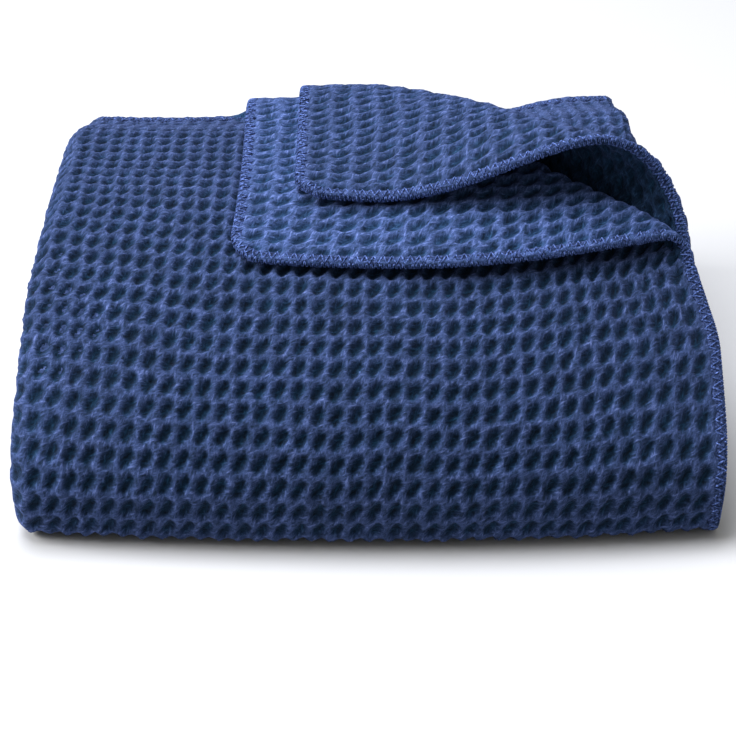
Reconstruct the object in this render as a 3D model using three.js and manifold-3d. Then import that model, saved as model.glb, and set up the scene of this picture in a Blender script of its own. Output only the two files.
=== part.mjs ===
// A waffle-weave throw blanket, folded into a stack with two corners turned back.
//
// The cloth is one sheet, 1500 x 2000 mm. It is folded in four across its width, then in three along its
// length, and the thick strip that this makes is folded in half over its front edge. Seen from the side the
// stack is twelve nested U-shaped layers. The two outermost layers have their open corners turned back over
// the top on diagonal folds, each with its hem showing.
//
// Units are millimetres, +X to the right, +Y to the back, +Z up. The origin is on the floor, under the
// middle of the stack. The front fold faces -Y, and the open hems are on the +X side.
import * as THREE from "three";
import { mergeVertices } from "three/addons/utils/BufferGeometryUtils.js";
import Module from "manifold-3d";

// Driving dimensions.
const WIDTH = 380; // the stack, left fold to right hem
const DEPTH = 350; // front fold to back hem
const PITCH = 5.7; // one layer of cloth with the air beside it
const LAYERS = 12; // nested layers, each of which shows twice in the height
const CLEARANCE = 0.3; // between neighbouring solids
const HEM_WIDTH = 6; // the overlocked band along an open edge
const HEM_GAP = 1; // between the band and the turned-back cloth inside it
const SUNK_EDGE = 2; // how far the hems step back for every two layers below the outer pass

// The front fold: a long shoulder above its foremost line and a tight turn below it.
const SHOULDER_DEPTH = 150;
const SHOULDER_POWER = 1.65; // superellipse exponent; 2 would be an ellipse
const FOREMOST_SHARE = 0.22; // height of the foremost line, as a share of the layer's height
const TURN_DEPTH = 22;
const FRONT_PITCH = 6; // spacing of the layers along their foremost lines

// The turned-back corners. Each fold starts on the right edge and runs back and to the left at 45 degrees.
const CORNERS = [
  { name: "lower", layer: 0, foldFrom: 66, rollRight: 10, rollLeft: 10, settle: 110, rest: 1.4 },
  { name: "upper", layer: 1, foldFrom: 80, rollRight: 26, rollLeft: 18, settle: 150, rest: 3.9 },
];
const CORNER_RADIUS = 22; // the rounded corner of the cloth
const CORNER_LIFT = 3.8; // air under a turned-back corner

// Derived places.
const HEIGHT = 2 * LAYERS * PITCH;
const FRONT = -DEPTH / 2;
const BACK = DEPTH / 2;
const RIGHT = WIDTH / 2;
const PASS = 4; // layers in one pass of the folded strip
const FOLD_RADIUS = 2 * PITCH; // the left fold of a pass
const LEFT_FLAT = -WIDTH / 2 + FOLD_RADIUS; // where the flat layers start
const BACK_FOLD_RADIUS = PASS * PITCH;
const BACK_FLAT = BACK - BACK_FOLD_RADIUS; // where the layers turn at the back
const HALF_GAP = CLEARANCE / 2;
const GAP_SHARE = HALF_GAP / PITCH;

const wasm = await Module();
wasm.setup();

const blanket = new THREE.Group();
const cloth = new THREE.MeshStandardMaterial({ color: 0x3c4c96, roughness: 0.95, metalness: 0 });
const thread = new THREE.MeshStandardMaterial({ color: 0x5a69a8, roughness: 0.85, metalness: 0 });

function add(name, geometry, material = cloth) {
  const mesh = new THREE.Mesh(geometry, material);
  mesh.name = name;
  blanket.add(mesh);
}

// ---- The U-shaped path of a layer ----
// depth counts layers inwards from the outer face of the stack: 0 is the outer face, 12 the middle.

function foldShape(depth) {
  const share = 1 - depth / LAYERS;
  return {
    front: FRONT + depth * FRONT_PITCH,
    shoulder: SHOULDER_DEPTH * share,
    turn: TURN_DEPTH * share,
    foremost: depth * PITCH + FOREMOST_SHARE * share * HEIGHT,
    rise: (1 - FOREMOST_SHARE) * share * HEIGHT,
    drop: FOREMOST_SHARE * share * HEIGHT,
  };
}

const onTop = (y) => (depth) => [y, HEIGHT - depth * PITCH];
const onBottom = (y) => (depth) => [y, depth * PITCH];

// A point on the long shoulder, from 0 at the foremost line to a quarter turn at the top.
const onShoulder = (angle) => (depth) => {
  const f = foldShape(depth);
  const power = 2 / SHOULDER_POWER;
  return [
    f.front + f.shoulder * (1 - Math.max(0, Math.cos(angle)) ** power),
    f.foremost + f.rise * Math.sin(angle) ** power,
  ];
};

// A point on the tight turn, from 0 at the foremost line to a quarter turn at the floor.
const onTurn = (angle) => (depth) => {
  const f = foldShape(depth);
  return [f.front + f.turn * (1 - Math.cos(angle)), f.foremost - f.drop * Math.sin(angle)];
};

// The angle on the outer shoulder at a given distance behind the front.
function shoulderAngle(behindFront) {
  return Math.acos((1 - behindFront / SHOULDER_DEPTH) ** (SHOULDER_POWER / 2));
}

function range(count, from, to) {
  return Array.from({ length: count + 1 }, (_, i) => from + ((to - from) * i) / count);
}

const QUARTER = Math.PI / 2;
const SHOULDER_STEPS = 14;
const TURN_STEPS = 4;
const FOLD_STEPS = 6; // round a side fold

// The stations of a layer's path, from its top end over the front fold to its bottom end.
function wholePath(topEnd, bottomEnd) {
  return [
    onTop(topEnd),
    ...range(SHOULDER_STEPS, QUARTER, 0).map(onShoulder),
    ...range(TURN_STEPS, 0, QUARTER).slice(1).map(onTurn),
    onBottom(bottomEnd),
  ];
}

// The same path, but starting on the shoulder where a corner is turned back.
function pathBelowFold(foldFrom, bottomEnd) {
  const start = shoulderAngle(foldFrom);
  const below = range(SHOULDER_STEPS, QUARTER, 0).filter((angle) => angle < start - 0.01);
  return [
    ...[start, ...below].map(onShoulder),
    ...range(TURN_STEPS, 0, QUARTER).slice(1).map(onTurn),
    onBottom(bottomEnd),
  ];
}

// ---- Solids ----

// A closed solid from an outline in (x, depth) carried along the stations of a path.
function sweep(outlinePoints, stations) {
  const drawn = outlinePoints.map(([x, depth]) => new THREE.Vector2(x, depth));
  const outline = THREE.ShapeUtils.isClockWise(drawn) ? drawn.reverse() : drawn;
  const section = outline.map(({ x, y }) => [x, y]);
  const ring = section.length;
  const points = stations.flatMap((at) => section.map(([x, depth]) => [x, ...at(depth)]));
  const faces = [];
  for (let s = 0; s + 1 < stations.length; s++) {
    for (let i = 0; i < ring; i++) {
      const a = s * ring + i;
      const b = s * ring + ((i + 1) % ring);
      faces.push([a, b, b + ring], [a, b + ring, a + ring]);
    }
  }
  const last = (stations.length - 1) * ring;
  for (const [a, b, c] of THREE.ShapeUtils.triangulateShape(outline, [])) {
    faces.push([a, c, b], [last + a, last + b, last + c]);
  }
  return closedGeometry(points, faces);
}

// A closed solid from two faces that are grids of points, outer and inner, one above the other.
function shell(rows, columns, outerPoint, innerPoint) {
  const points = [];
  for (const at of [outerPoint, innerPoint]) {
    for (let i = 0; i <= rows; i++) for (let j = 0; j <= columns; j++) points.push(at(i, j));
  }
  const across = columns + 1;
  const under = (rows + 1) * across;
  const faces = [];
  const quad = (a, b, c, d) => faces.push([a, b, c], [a, c, d]);
  for (let i = 0; i < rows; i++) {
    for (let j = 0; j < columns; j++) {
      const a = i * across + j;
      quad(a, a + across, a + across + 1, a + 1);
      quad(a + under, a + under + 1, a + under + across + 1, a + under + across);
    }
  }
  for (let j = 0; j < columns; j++) {
    const a = rows * across + j;
    quad(j, j + 1, j + 1 + under, j + under);
    quad(a, a + under, a + 1 + under, a + 1);
  }
  for (let i = 0; i < rows; i++) {
    const a = i * across;
    const b = a + columns;
    quad(a, a + under, a + across + under, a + across);
    quad(b, b + across, b + across + under, b + under);
  }
  return closedGeometry(points, faces);
}

// Faces may come out pointing in, depending on which way the grid runs, so the sign of the volume decides.
function closedGeometry(points, faces) {
  const corner = (i) => new THREE.Vector3(...points[i]);
  const volume = faces.reduce(
    (sum, [a, b, c]) => sum + corner(a).dot(corner(b).cross(corner(c))), 0);
  const order = volume < 0 ? faces.map(([a, b, c]) => [a, c, b]) : faces;
  const geometry = new THREE.BufferGeometry();
  geometry.setAttribute("position", new THREE.Float32BufferAttribute(points.flat(), 3));
  geometry.setIndex(order.flat());
  return geometry;
}

function toManifold(geometry) {
  const bare = new THREE.BufferGeometry();
  bare.setAttribute("position", geometry.getAttribute("position"));
  bare.setIndex(geometry.getIndex());
  const merged = mergeVertices(bare, 1e-3);
  return new wasm.Manifold(new wasm.Mesh({
    numProp: 3,
    vertProperties: merged.attributes.position.array,
    triVerts: new Uint32Array(merged.index.array),
  }));
}

function fromManifold(solid) {
  const mesh = solid.getMesh();
  const geometry = new THREE.BufferGeometry();
  geometry.setAttribute("position", new THREE.BufferAttribute(mesh.vertProperties, 3));
  geometry.setIndex(new THREE.BufferAttribute(mesh.triVerts, 1));
  return geometry;
}

// ---- The turned-back corners ----

const ALONG_FOLD = new THREE.Vector2(-1, 1).normalize(); // from the right edge to the back hem
const ACROSS_FOLD = new THREE.Vector2(1, 1).normalize(); // towards the corner, before it is turned back

for (const corner of CORNERS) {
  corner.start = new THREE.Vector2(RIGHT, FRONT + corner.foldFrom);
  corner.leg = BACK - corner.start.y;
  corner.foldLength = corner.leg * Math.SQRT2;
}

// The stack's outer face: its height and its upward normal at a place y on the top or the shoulder.
function outerFace(y) {
  const behind = Math.min(Math.max(y - FRONT, 0), SHOULDER_DEPTH);
  const [, z] = onShoulder(shoulderAngle(behind))(0);
  const step = 0.5;
  const ahead = onShoulder(shoulderAngle(Math.min(behind + step, SHOULDER_DEPTH)))(0)[1];
  const slope = behind < SHOULDER_DEPTH ? (ahead - z) / step : 0;
  return { z, normal: new THREE.Vector3(0, -slope, 1).normalize() };
}

// Where the middle of the cloth lies for a point of the flat corner, given in plan before it is turned back.
function turnedBack(corner, x, y) {
  const offset = new THREE.Vector2(x, y).sub(corner.start);
  const along = offset.dot(ALONG_FOLD);
  const beyond = offset.dot(ACROSS_FOLD);
  const share = Math.min(Math.max(along / corner.foldLength, 0), 1);
  const radius = corner.rollRight + (corner.rollLeft - corner.rollRight) * share;
  const past = beyond - Math.PI * radius;
  let across = radius * Math.sin(beyond / radius);
  let lift = radius * (1 - Math.cos(beyond / radius));
  if (past > 0) {
    const settled = Math.min(past / corner.settle, 1);
    const low = corner.rest * PITCH;
    across = -past;
    lift = low + ((2 * radius - low) * (1 + Math.cos(Math.PI * settled))) / 2;
  }
  const plan = corner.start.clone()
    .addScaledVector(ALONG_FOLD, along)
    .addScaledVector(ACROSS_FOLD, across);
  const face = outerFace(plan.y);
  const height = lift + CORNER_LIFT - (corner.layer + 0.5) * PITCH;
  return new THREE.Vector3(plan.x, plan.y, face.z).addScaledVector(face.normal, height);
}

// A patch of a corner: place(i, j) gives a point of the flat cloth, and the cloth has its real thickness.
function patch(corner, rows, columns, place) {
  const half = PITCH / 2 - HALF_GAP;
  const step = 0.2;
  const face = (side) => (i, j) => {
    const [x, y] = place(i, j);
    const at = turnedBack(corner, x, y);
    const byX = turnedBack(corner, x + step, y).sub(at);
    const byY = turnedBack(corner, x, y + step).sub(at);
    return at.addScaledVector(byX.cross(byY).normalize(), side * half).toArray();
  };
  return shell(rows, columns, face(1), face(-1));
}

// How far the cloth reaches beyond the fold, at a distance along it: two straight edges and a round corner.
function reach(corner, along) {
  const middle = corner.foldLength / 2;
  const offCentre = Math.abs(along - middle);
  if (offCentre > CORNER_RADIUS / Math.SQRT2) return middle - offCentre;
  return middle - CORNER_RADIUS * Math.SQRT2 + Math.sqrt(CORNER_RADIUS ** 2 - offCentre ** 2);
}

function flatPoint(corner, along, beyond) {
  return [
    corner.start.x + ALONG_FOLD.x * along + ACROSS_FOLD.x * beyond,
    corner.start.y + ALONG_FOLD.y * along + ACROSS_FOLD.y * beyond,
  ];
}

function rollLength(corner, along) {
  const share = along / corner.foldLength;
  return Math.PI * (corner.rollRight + (corner.rollLeft - corner.rollRight) * share);
}

const FLAP_COLUMNS = 40;
const FLAP_ROWS = 7;
const ROLL_ROWS = 6;
const HEM_STEPS = 20; // along each straight edge of a flap
const HEM_ARC_STEPS = 5; // round its corner
const ROLL_HEM_STEPS = 10;
const TIP_SAMPLES = 400; // places tried along the fold for the ends of the flap
const LEAST_FLAP = 4; // how far the flap must reach past the roll to have a tip there
const TIP_GAP = 2; // between the tips of the roll and the hem bands
const BAND_MARGIN = (HEM_WIDTH + HEM_GAP) * Math.SQRT2; // the hem band's reach, measured away from the fold

// The soft roll where the cloth turns over, from the fold to the top of its curl.
function roll(corner) {
  const tip = BAND_MARGIN + TIP_GAP;
  return patch(corner, ROLL_ROWS, FLAP_COLUMNS, (i, j) => {
    const along = tip + ((corner.foldLength - 2 * tip) * j) / FLAP_COLUMNS;
    const far = Math.min(rollLength(corner, along), reach(corner, along) - BAND_MARGIN);
    return flatPoint(corner, along, CLEARANCE + ((far - CLEARANCE) * i) / ROLL_ROWS);
  });
}

// The flat of the flap, from the curl to the hem band.
function flap(corner) {
  const width = (along) => reach(corner, along) - BAND_MARGIN - rollLength(corner, along);
  const inside = range(TIP_SAMPLES, 0, corner.foldLength).filter((along) => width(along) > LEAST_FLAP);
  const from = inside[0];
  const to = inside[inside.length - 1];
  return patch(corner, FLAP_ROWS, FLAP_COLUMNS, (i, j) => {
    const along = from + ((to - from) * j) / FLAP_COLUMNS;
    const near = rollLength(corner, along) + CLEARANCE;
    const far = reach(corner, along) - (HEM_WIDTH + HEM_GAP) * hemSlant(corner, along);
    return flatPoint(corner, along, near + ((far - near) * i) / FLAP_ROWS);
  });
}

// The band lies square to the edge, so measured away from the fold it is wider along the straight edges.
function hemSlant(corner, along) {
  const offCentre = Math.abs(along - corner.foldLength / 2);
  const straight = CORNER_RADIUS / Math.SQRT2;
  return offCentre > straight ? Math.SQRT2 : CORNER_RADIUS / Math.sqrt(CORNER_RADIUS ** 2 - offCentre ** 2);
}

// The overlocked edge of a corner runs along the right edge, round the corner and along the back hem.
// This gives a point of it in plan, from the distance along the edge and the inset from it.
function edgePoint(corner, distance, inset) {
  const straight = corner.leg - CORNER_RADIUS;
  const arc = CORNER_RADIUS * QUARTER;
  if (distance < straight) return [corner.start.x - inset, corner.start.y + distance];
  const after = distance - straight - arc;
  if (after > 0) return [corner.start.x - CORNER_RADIUS - after, BACK - inset];
  const turn = (distance - straight) / CORNER_RADIUS;
  const radius = CORNER_RADIUS - inset;
  return [
    corner.start.x - CORNER_RADIUS + radius * Math.cos(turn),
    BACK - CORNER_RADIUS + radius * Math.sin(turn),
  ];
}

function hemBand(corner, stops) {
  const total = 2 * (corner.leg - CORNER_RADIUS) + CORNER_RADIUS * QUARTER;
  return patch(corner, 1, stops.length - 1, (i, j) => {
    // The band's inner side is mitred where it meets the fold.
    const fromFold = Math.min(stops[j], total - stops[j]);
    const inset = Math.min(HEM_WIDTH, fromFold / 2);
    return edgePoint(corner, stops[j], i * inset);
  });
}

// The hem of a corner in three pieces: one over each end of the roll, and one round the flap.
function cornerHems(corner) {
  const straight = corner.leg - CORNER_RADIUS;
  const arc = CORNER_RADIUS * QUARTER;
  const total = 2 * straight + arc;
  const rollRight = rollLength(corner, 0) * Math.SQRT2;
  const rollLeft = rollLength(corner, corner.foldLength) * Math.SQRT2;
  const round = [
    ...range(HEM_STEPS, rollRight + HEM_GAP, straight),
    ...range(HEM_ARC_STEPS, straight, straight + arc).slice(1),
    ...range(HEM_STEPS, straight + arc, total - rollLeft - HEM_GAP).slice(1),
  ];
  return {
    corner_hem: hemBand(corner, round),
    roll_hem_right: hemBand(corner, range(ROLL_HEM_STEPS, HEM_GAP, rollRight)),
    roll_hem_back: hemBand(corner, range(ROLL_HEM_STEPS, total - rollLeft, total - HEM_GAP)),
  };
}

// A tall block over the part of a layer that is turned back, cut off along the fold.
function turnedBackBlock(corner) {
  const outline = new THREE.Shape([
    new THREE.Vector2(corner.start.x + HEM_WIDTH, corner.start.y - HEM_WIDTH),
    new THREE.Vector2(corner.start.x + HEM_WIDTH, BACK + HEM_WIDTH),
    new THREE.Vector2(corner.start.x - corner.leg - HEM_WIDTH, BACK + HEM_WIDTH),
  ]);
  const block = new THREE.ExtrudeGeometry(outline, { depth: HEIGHT, bevelEnabled: false });
  return block.translate(0, 0, HEIGHT / 2);
}

// ---- The stack ----

// Which layers end in an open hem on the right. The others turn into their neighbour.
const RIGHT_HEMS = [0, 1, 6, 7, 8, 9];
const RIGHT_FOLDS = [{ middle: 3, inset: 12 }, { middle: 5, inset: 7 }, { middle: 11, inset: 9 }];
const number = (layer) => String(layer + 1).padStart(2, "0");

// How far a layer's right edge stands back from the widest one.
function hemInset(layer) {
  return layer < PASS ? 0 : SUNK_EDGE * (1 + (layer - PASS) / 2);
}

function rightEdge(layer) {
  if (RIGHT_HEMS.includes(layer)) return RIGHT - hemInset(layer) - HEM_WIDTH - CLEARANCE;
  const fold = RIGHT_FOLDS.find(({ middle }) => layer === middle || layer === middle - 1);
  return RIGHT - fold.inset - PITCH - CLEARANCE;
}

// Passes are joined at the back: the outer to the middle one below, the middle to the inner one above.
// The other two ends are the blanket's own hems.
const endsInHem = (layer, top) => (top ? layer < PASS : layer >= 2 * PASS);

function backEnd(layer, top) {
  return endsInHem(layer, top) ? BACK - HEM_WIDTH - CLEARANCE : BACK_FLAT - CLEARANCE;
}

function box(x0, x1, layer) {
  const [d0, d1] = [layer + GAP_SHARE, layer + 1 - GAP_SHARE];
  return [[x0, d0], [x1, d0], [x1, d1], [x0, d1]];
}

function cutBack(corner, geometry) {
  return corner
    ? fromManifold(toManifold(geometry).subtract(toManifold(turnedBackBlock(corner))))
    : geometry;
}

function addLayers() {
  for (let layer = 0; layer < LAYERS; layer++) {
    const corner = CORNERS.find((c) => c.layer === layer);
    const path = wholePath(backEnd(layer, true), backEnd(layer, false));
    const section = box(LEFT_FLAT + HALF_GAP, rightEdge(layer), layer);
    add(`layer_${number(layer)}`, cutBack(corner, sweep(section, path)));
  }
}

function addRightHems() {
  for (const layer of RIGHT_HEMS) {
    const edge = RIGHT - hemInset(layer);
    const corner = CORNERS.find((c) => c.layer === layer);
    const bottom = backEnd(layer, false);
    const path = corner
      ? pathBelowFold(corner.foldFrom - CLEARANCE, bottom)
      : wholePath(backEnd(layer, true), bottom);
    add(`right_hem_${number(layer)}`, sweep(box(edge - HEM_WIDTH, edge, layer), path), thread);
  }
}

// A half ring in section: a fold of cloth that joins layers on either side of a middle depth.
function foldSection(x, middle, outer, inner, side) {
  const turn = (radius, angle) => [
    x + side * radius * Math.cos(angle),
    middle + (radius / PITCH) * Math.sin(angle),
  ];
  const outside = range(FOLD_STEPS, -QUARTER, QUARTER).map((angle) => turn(outer, angle));
  if (inner <= 0) return outside;
  return [...outside, ...range(FOLD_STEPS, QUARTER, -QUARTER).map((angle) => turn(inner, angle))];
}

function addSideFolds() {
  const path = wholePath(BACK_FLAT - CLEARANCE, BACK_FLAT - CLEARANCE);
  ["outer", "middle", "inner"].forEach((pass, index) => {
    const middle = index * PASS + 2;
    const wrap = foldSection(LEFT_FLAT - HALF_GAP, middle, FOLD_RADIUS - HALF_GAP, PITCH + HALF_GAP, -1);
    const core = foldSection(LEFT_FLAT - HALF_GAP, middle, PITCH - HALF_GAP, 0, -1);
    add(`left_fold_${pass}_pass`, sweep(wrap, path));
    add(`left_core_fold_${pass}_pass`, sweep(core, path));
    const fold = RIGHT_FOLDS[index];
    const section = foldSection(RIGHT - fold.inset - PITCH, fold.middle, PITCH - HALF_GAP, 0, 1);
    add(`right_fold_${pass}_pass`, sweep(section, path));
  });
}

// Nested half rings along the back, joining the passes.
function addBackFolds() {
  const places = { upper: HEIGHT - 2 * PASS * PITCH, lower: PASS * PITCH };
  for (const [name, z] of Object.entries(places)) {
    for (let ring = 0; ring < PASS; ring++) {
      const outer = (PASS - ring) * PITCH - HALF_GAP;
      const inner = (PASS - ring - 1) * PITCH + HALF_GAP;
      const shape = new THREE.Shape();
      shape.absarc(0, 0, outer, -QUARTER, QUARTER, false);
      if (ring < PASS - 1) shape.absarc(0, 0, inner, QUARTER, -QUARTER, true);
      const length = WIDTH - 2 * FOLD_RADIUS;
      const geometry = new THREE.ExtrudeGeometry(shape, {
        depth: length, bevelEnabled: false, curveSegments: 8,
      });
      geometry.rotateX(QUARTER).rotateZ(QUARTER);
      geometry.translate(-length / 2, BACK_FLAT, z);
      add(`back_fold_${name}_${ring + 1}`, geometry);
    }
  }
}

// The blanket's own end hems, at the back: the outer pass ends above, and the inner pass below the middle.
function addEndHems() {
  for (let layer = 0; layer < LAYERS; layer++) {
    for (const top of [true, false]) {
      if (!endsInHem(layer, top)) continue;
      const corner = top ? CORNERS.find((c) => c.layer === layer) : undefined;
      const right = corner ? corner.start.x - corner.leg - 2 * HEM_WIDTH : rightEdge(layer);
      const at = top ? onTop : onBottom;
      const section = box(LEFT_FLAT + HALF_GAP, right, layer);
      add(`end_hem_${number(layer)}`, sweep(section, [at(BACK), at(BACK - HEM_WIDTH)]), thread);
    }
  }
}

function addCorners() {
  for (const corner of CORNERS) {
    add(`${corner.name}_corner_roll`, roll(corner));
    add(`${corner.name}_corner_flap`, flap(corner));
    for (const [piece, geometry] of Object.entries(cornerHems(corner))) {
      add(`${corner.name}_${piece}`, geometry, thread);
    }
  }
}

addLayers();
addSideFolds();
addRightHems();
addBackFolds();
addEndHems();
addCorners();

const bounds = new THREE.Box3().setFromObject(blanket);
blanket.position.set(
  -(bounds.min.x + bounds.max.x) / 2, -(bounds.min.y + bounds.max.y) / 2, -bounds.min.z);

export default blanket;
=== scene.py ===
"""A waffle-weave throw blanket, folded into a stack with two of its corners turned back.

The cloth is one sheet. It is folded in four across its width, in three along its length, and then in half over
the front. So the stack is a strip of four layers that runs over the front fold three times, in three passes.
Every piece is worked out in a straight frame first, where the layers are flat and even. settle() then leans,
bows and sags all of it together, so neighbours stay neighbours. Lengths inside the script are millimetres.
"""

import math

import bpy
import numpy as np
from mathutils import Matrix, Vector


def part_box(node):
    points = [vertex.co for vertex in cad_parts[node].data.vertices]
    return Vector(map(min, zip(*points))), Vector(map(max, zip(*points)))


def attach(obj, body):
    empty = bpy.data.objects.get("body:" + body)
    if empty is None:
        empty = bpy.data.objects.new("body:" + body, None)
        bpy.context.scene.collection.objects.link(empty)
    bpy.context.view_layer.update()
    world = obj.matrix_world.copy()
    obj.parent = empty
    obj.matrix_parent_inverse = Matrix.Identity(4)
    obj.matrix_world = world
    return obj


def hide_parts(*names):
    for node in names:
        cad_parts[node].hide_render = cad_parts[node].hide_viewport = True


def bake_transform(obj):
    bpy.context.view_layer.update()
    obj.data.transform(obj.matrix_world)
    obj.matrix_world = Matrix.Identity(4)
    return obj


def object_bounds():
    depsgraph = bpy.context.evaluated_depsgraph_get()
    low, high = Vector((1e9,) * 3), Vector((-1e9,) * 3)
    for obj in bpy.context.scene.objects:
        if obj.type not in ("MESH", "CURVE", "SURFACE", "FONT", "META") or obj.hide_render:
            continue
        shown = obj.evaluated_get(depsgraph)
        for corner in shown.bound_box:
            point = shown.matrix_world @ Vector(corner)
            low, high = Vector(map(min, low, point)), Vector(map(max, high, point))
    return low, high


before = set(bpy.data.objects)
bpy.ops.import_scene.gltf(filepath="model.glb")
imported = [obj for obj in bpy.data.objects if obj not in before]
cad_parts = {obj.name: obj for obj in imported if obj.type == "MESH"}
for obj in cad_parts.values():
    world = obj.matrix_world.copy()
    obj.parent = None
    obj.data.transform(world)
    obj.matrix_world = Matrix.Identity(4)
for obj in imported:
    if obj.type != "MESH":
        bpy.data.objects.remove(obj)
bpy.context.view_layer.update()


def in_mm(corner):
    return np.array(corner) * 1000


# ---- Sizes, from the frame ----

STACK = "folded_stack"
LAYERS = 12
PASS = 4
LEFT = in_mm(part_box("left_fold_outer_pass")[0])[0]
RIGHT = in_mm(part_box("right_hem_01")[1])[0]
FRONT = in_mm(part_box("layer_01")[0])[1]
BACK = in_mm(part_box("end_hem_03")[1])[1]
HEIGHT = in_mm(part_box("layer_01")[1])[2]
PITCH = HEIGHT / (2 * LAYERS)
HALF_WIDTH = (RIGHT - LEFT) / 2
DEPTH = BACK - FRONT
BACK_FLAT = BACK - PASS * PITCH
LEFT_FLAT = LEFT + 2 * PITCH

# ---- Sizes of the cloth and its folds ----

THICK = 5.0  # the cloth's loft, ridge to ridge
CELL_ACROSS = 10.1  # waffle cells, across the cloth and along it
CELL_ALONG = 12.9
PIT = 3.6  # how deep a waffle pit is
SKEW = -0.09  # how far the ridges lean between crossings, as a share of a cell
HEM_WIDTH = 6.5
STITCH = 5.0
THREAD = 0.45  # radius of the overlock thread
THREAD_INSET = 0.4  # how near its turns come to the sides of the hem
BAND_HALF = THICK / 2 - THREAD  # half the height of the hem under its thread
BAND_SIDES = 12
BAND_STEP = 2.5  # between its rings
FINE_DETAIL = 0.7  # hems of more detail than this have finer threads
CORNER_HEM_STEP = 1.5
HEM_STEP = 3.0
BACK_TUCK = 4.0  # how far the cloth of a back fold reaches in among the left folds
HEM_TUCK = 2.0  # and how far an end hem does
CORNER_GAP = 3.0  # between an end hem and the fold of its layer's corner
CORNER_RADIUS = 20.0
SAMPLES = 7  # mesh faces across one waffle cell, where the weave is seen close
EDGE_REACH = 60.0  # how far into the stack an inner layer may be seen from outside
SHOWN_REACH = 260.0  # and how far layer 3 shows under the turned-back corners
FOLD_REACH = 40.0  # how far past its fold a corner's own layer is sampled closely

SHOULDER_DEPTH = 175.0  # the long upper curve of the front fold
SHOULDER_POWER = 1.7
FOREMOST_SHARE = 0.22
TURN_DEPTH = 11.0  # the tight lower curve
FRONT_PITCH = 6.0  # spacing of the layers along their foremost lines
UNDERSIDE_STAGE = 3.2  # past this stage of its line a layer lies flat on the floor, unseen

rng = np.random.default_rng(7)


def smooth(value, low, high):
    t = np.clip((np.asarray(value, float) - low) / (high - low), 0, 1)
    return t * t * (3 - 2 * t)


class Ripple:
    """A smooth, seeded, uneven field over two coordinates, between about -1 and 1."""

    def __init__(self, wavelength, waves=7):
        angle = rng.uniform(0, math.tau, waves)
        rate = math.tau / (wavelength * rng.uniform(0.7, 1.6, waves))
        self.rates = np.stack([np.cos(angle) * rate, np.sin(angle) * rate])
        self.phases = rng.uniform(0, math.tau, waves)

    def __call__(self, a, b):
        a, b = np.broadcast_arrays(np.asarray(a, float), np.asarray(b, float))
        terms = np.sin(a[..., None] * self.rates[0] + b[..., None] * self.rates[1] + self.phases)
        return terms.sum(-1) / math.sqrt(len(self.phases)) * 0.7


cell_wander = Ripple(60)
cell_wander_along = Ripple(70)
pit_change = Ripple(26)
surface_sag = Ripple(150)
edge_wander = Ripple(120)


# ---- How the whole stack has settled ----


def settle(points):
    """Moves points of the straight stack to where the soft stack has them.

    The sides lean out low down and in at the shoulders, and the right side narrows towards the back. The front
    bows forward in the middle. The back sags, and the right back swells over the loose edges inside.
    """
    x, y, z = np.moveaxis(np.asarray(points, float), -1, 0)
    side = (x - (LEFT + RIGHT) / 2) / HALF_WIDTH  # -1 at the left edge, 1 at the right
    behind = y - FRONT
    bow = np.where(side > 0, 42.0, 30.0) * np.abs(side) ** 2.2
    left_lean = 1.004 - 0.008 * smooth(z, 40, 100) - 0.046 * smooth(z, 95, 150)
    right_lean = 1.012 + 0.014 * smooth(z, 15, 60) - 0.06 * smooth(z, 105, 150)
    lean = np.where(side > 0, right_lean, left_lean)
    narrow_back = (7.0 + 12.0 * (1 - smooth(z, 110, 150))) * smooth(behind, 90, 240)
    narrow_shoulder = 9.0 * smooth(z, 85, 115) * (1 - smooth(behind, 85, 115))
    taper = narrow_back * smooth(side, 0.2, 1.0) + narrow_shoulder * smooth(side, 0.5, 1.0)
    droop = 1 - 0.21 * smooth(behind, 250, 355)
    swell = 25.0 * smooth(side, 0.1, 0.85) * smooth(behind, 150, 280) * np.clip(z / HEIGHT, 0, 1)
    uneven = 1.6 * surface_sag(x, y) * smooth(z, 8, 60)
    forward = bow * (0.3 + 0.7 * smooth(z, 20, 105)) * (1 - smooth(behind, 70, 290))
    return np.stack([x * lean - taper, y + forward, z * droop + swell + uneven], -1)


# ---- The front fold: the line that a layer follows from the top, over the front, to the floor ----


def fold_point(t, depth):
    """A point (y, z) at stage t of the line at a depth, in layers, inside the outer face.

    t runs 0-1 along the top, 1-2 down the long shoulder, 2-3 round the tight turn and 3-4 along the floor.
    """
    t, depth = np.broadcast_arrays(np.asarray(t, float), np.asarray(depth, float))
    share = 1 - depth / LAYERS
    front = FRONT + depth * FRONT_PITCH
    foremost = depth * PITCH + FOREMOST_SHARE * share * HEIGHT
    rise = (1 - FOREMOST_SHARE) * share * HEIGHT
    drop = FOREMOST_SHARE * share * HEIGHT
    angle = (2 - np.clip(t, 1, 2)) * math.pi / 2
    down = (np.clip(t, 2, 3) - 2) * math.pi / 2
    power = 2 / SHOULDER_POWER
    shoulder_y = front + SHOULDER_DEPTH * share * (1 - np.clip(np.cos(angle), 0, 1) ** power)
    shoulder_z = foremost + rise * np.clip(np.sin(angle), 0, 1) ** power
    turn_y = front + TURN_DEPTH * share * (1 - np.cos(down))
    turn_z = foremost - drop * np.sin(down)
    y = np.where(t <= 2, shoulder_y, turn_y)
    z = np.where(t <= 2, shoulder_z, turn_z)
    y = np.where(t < 1, y + (1 - t) * (top_back(depth) - y), y)
    y = np.where(t > 3, y + (t - 3) * (floor_back(depth) - y), y)
    return y, z


def top_back(depth):
    return np.where(depth < PASS, BACK, BACK_FLAT)


def floor_back(depth):
    return np.where(depth >= 2 * PASS, BACK, BACK_FLAT)


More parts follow.
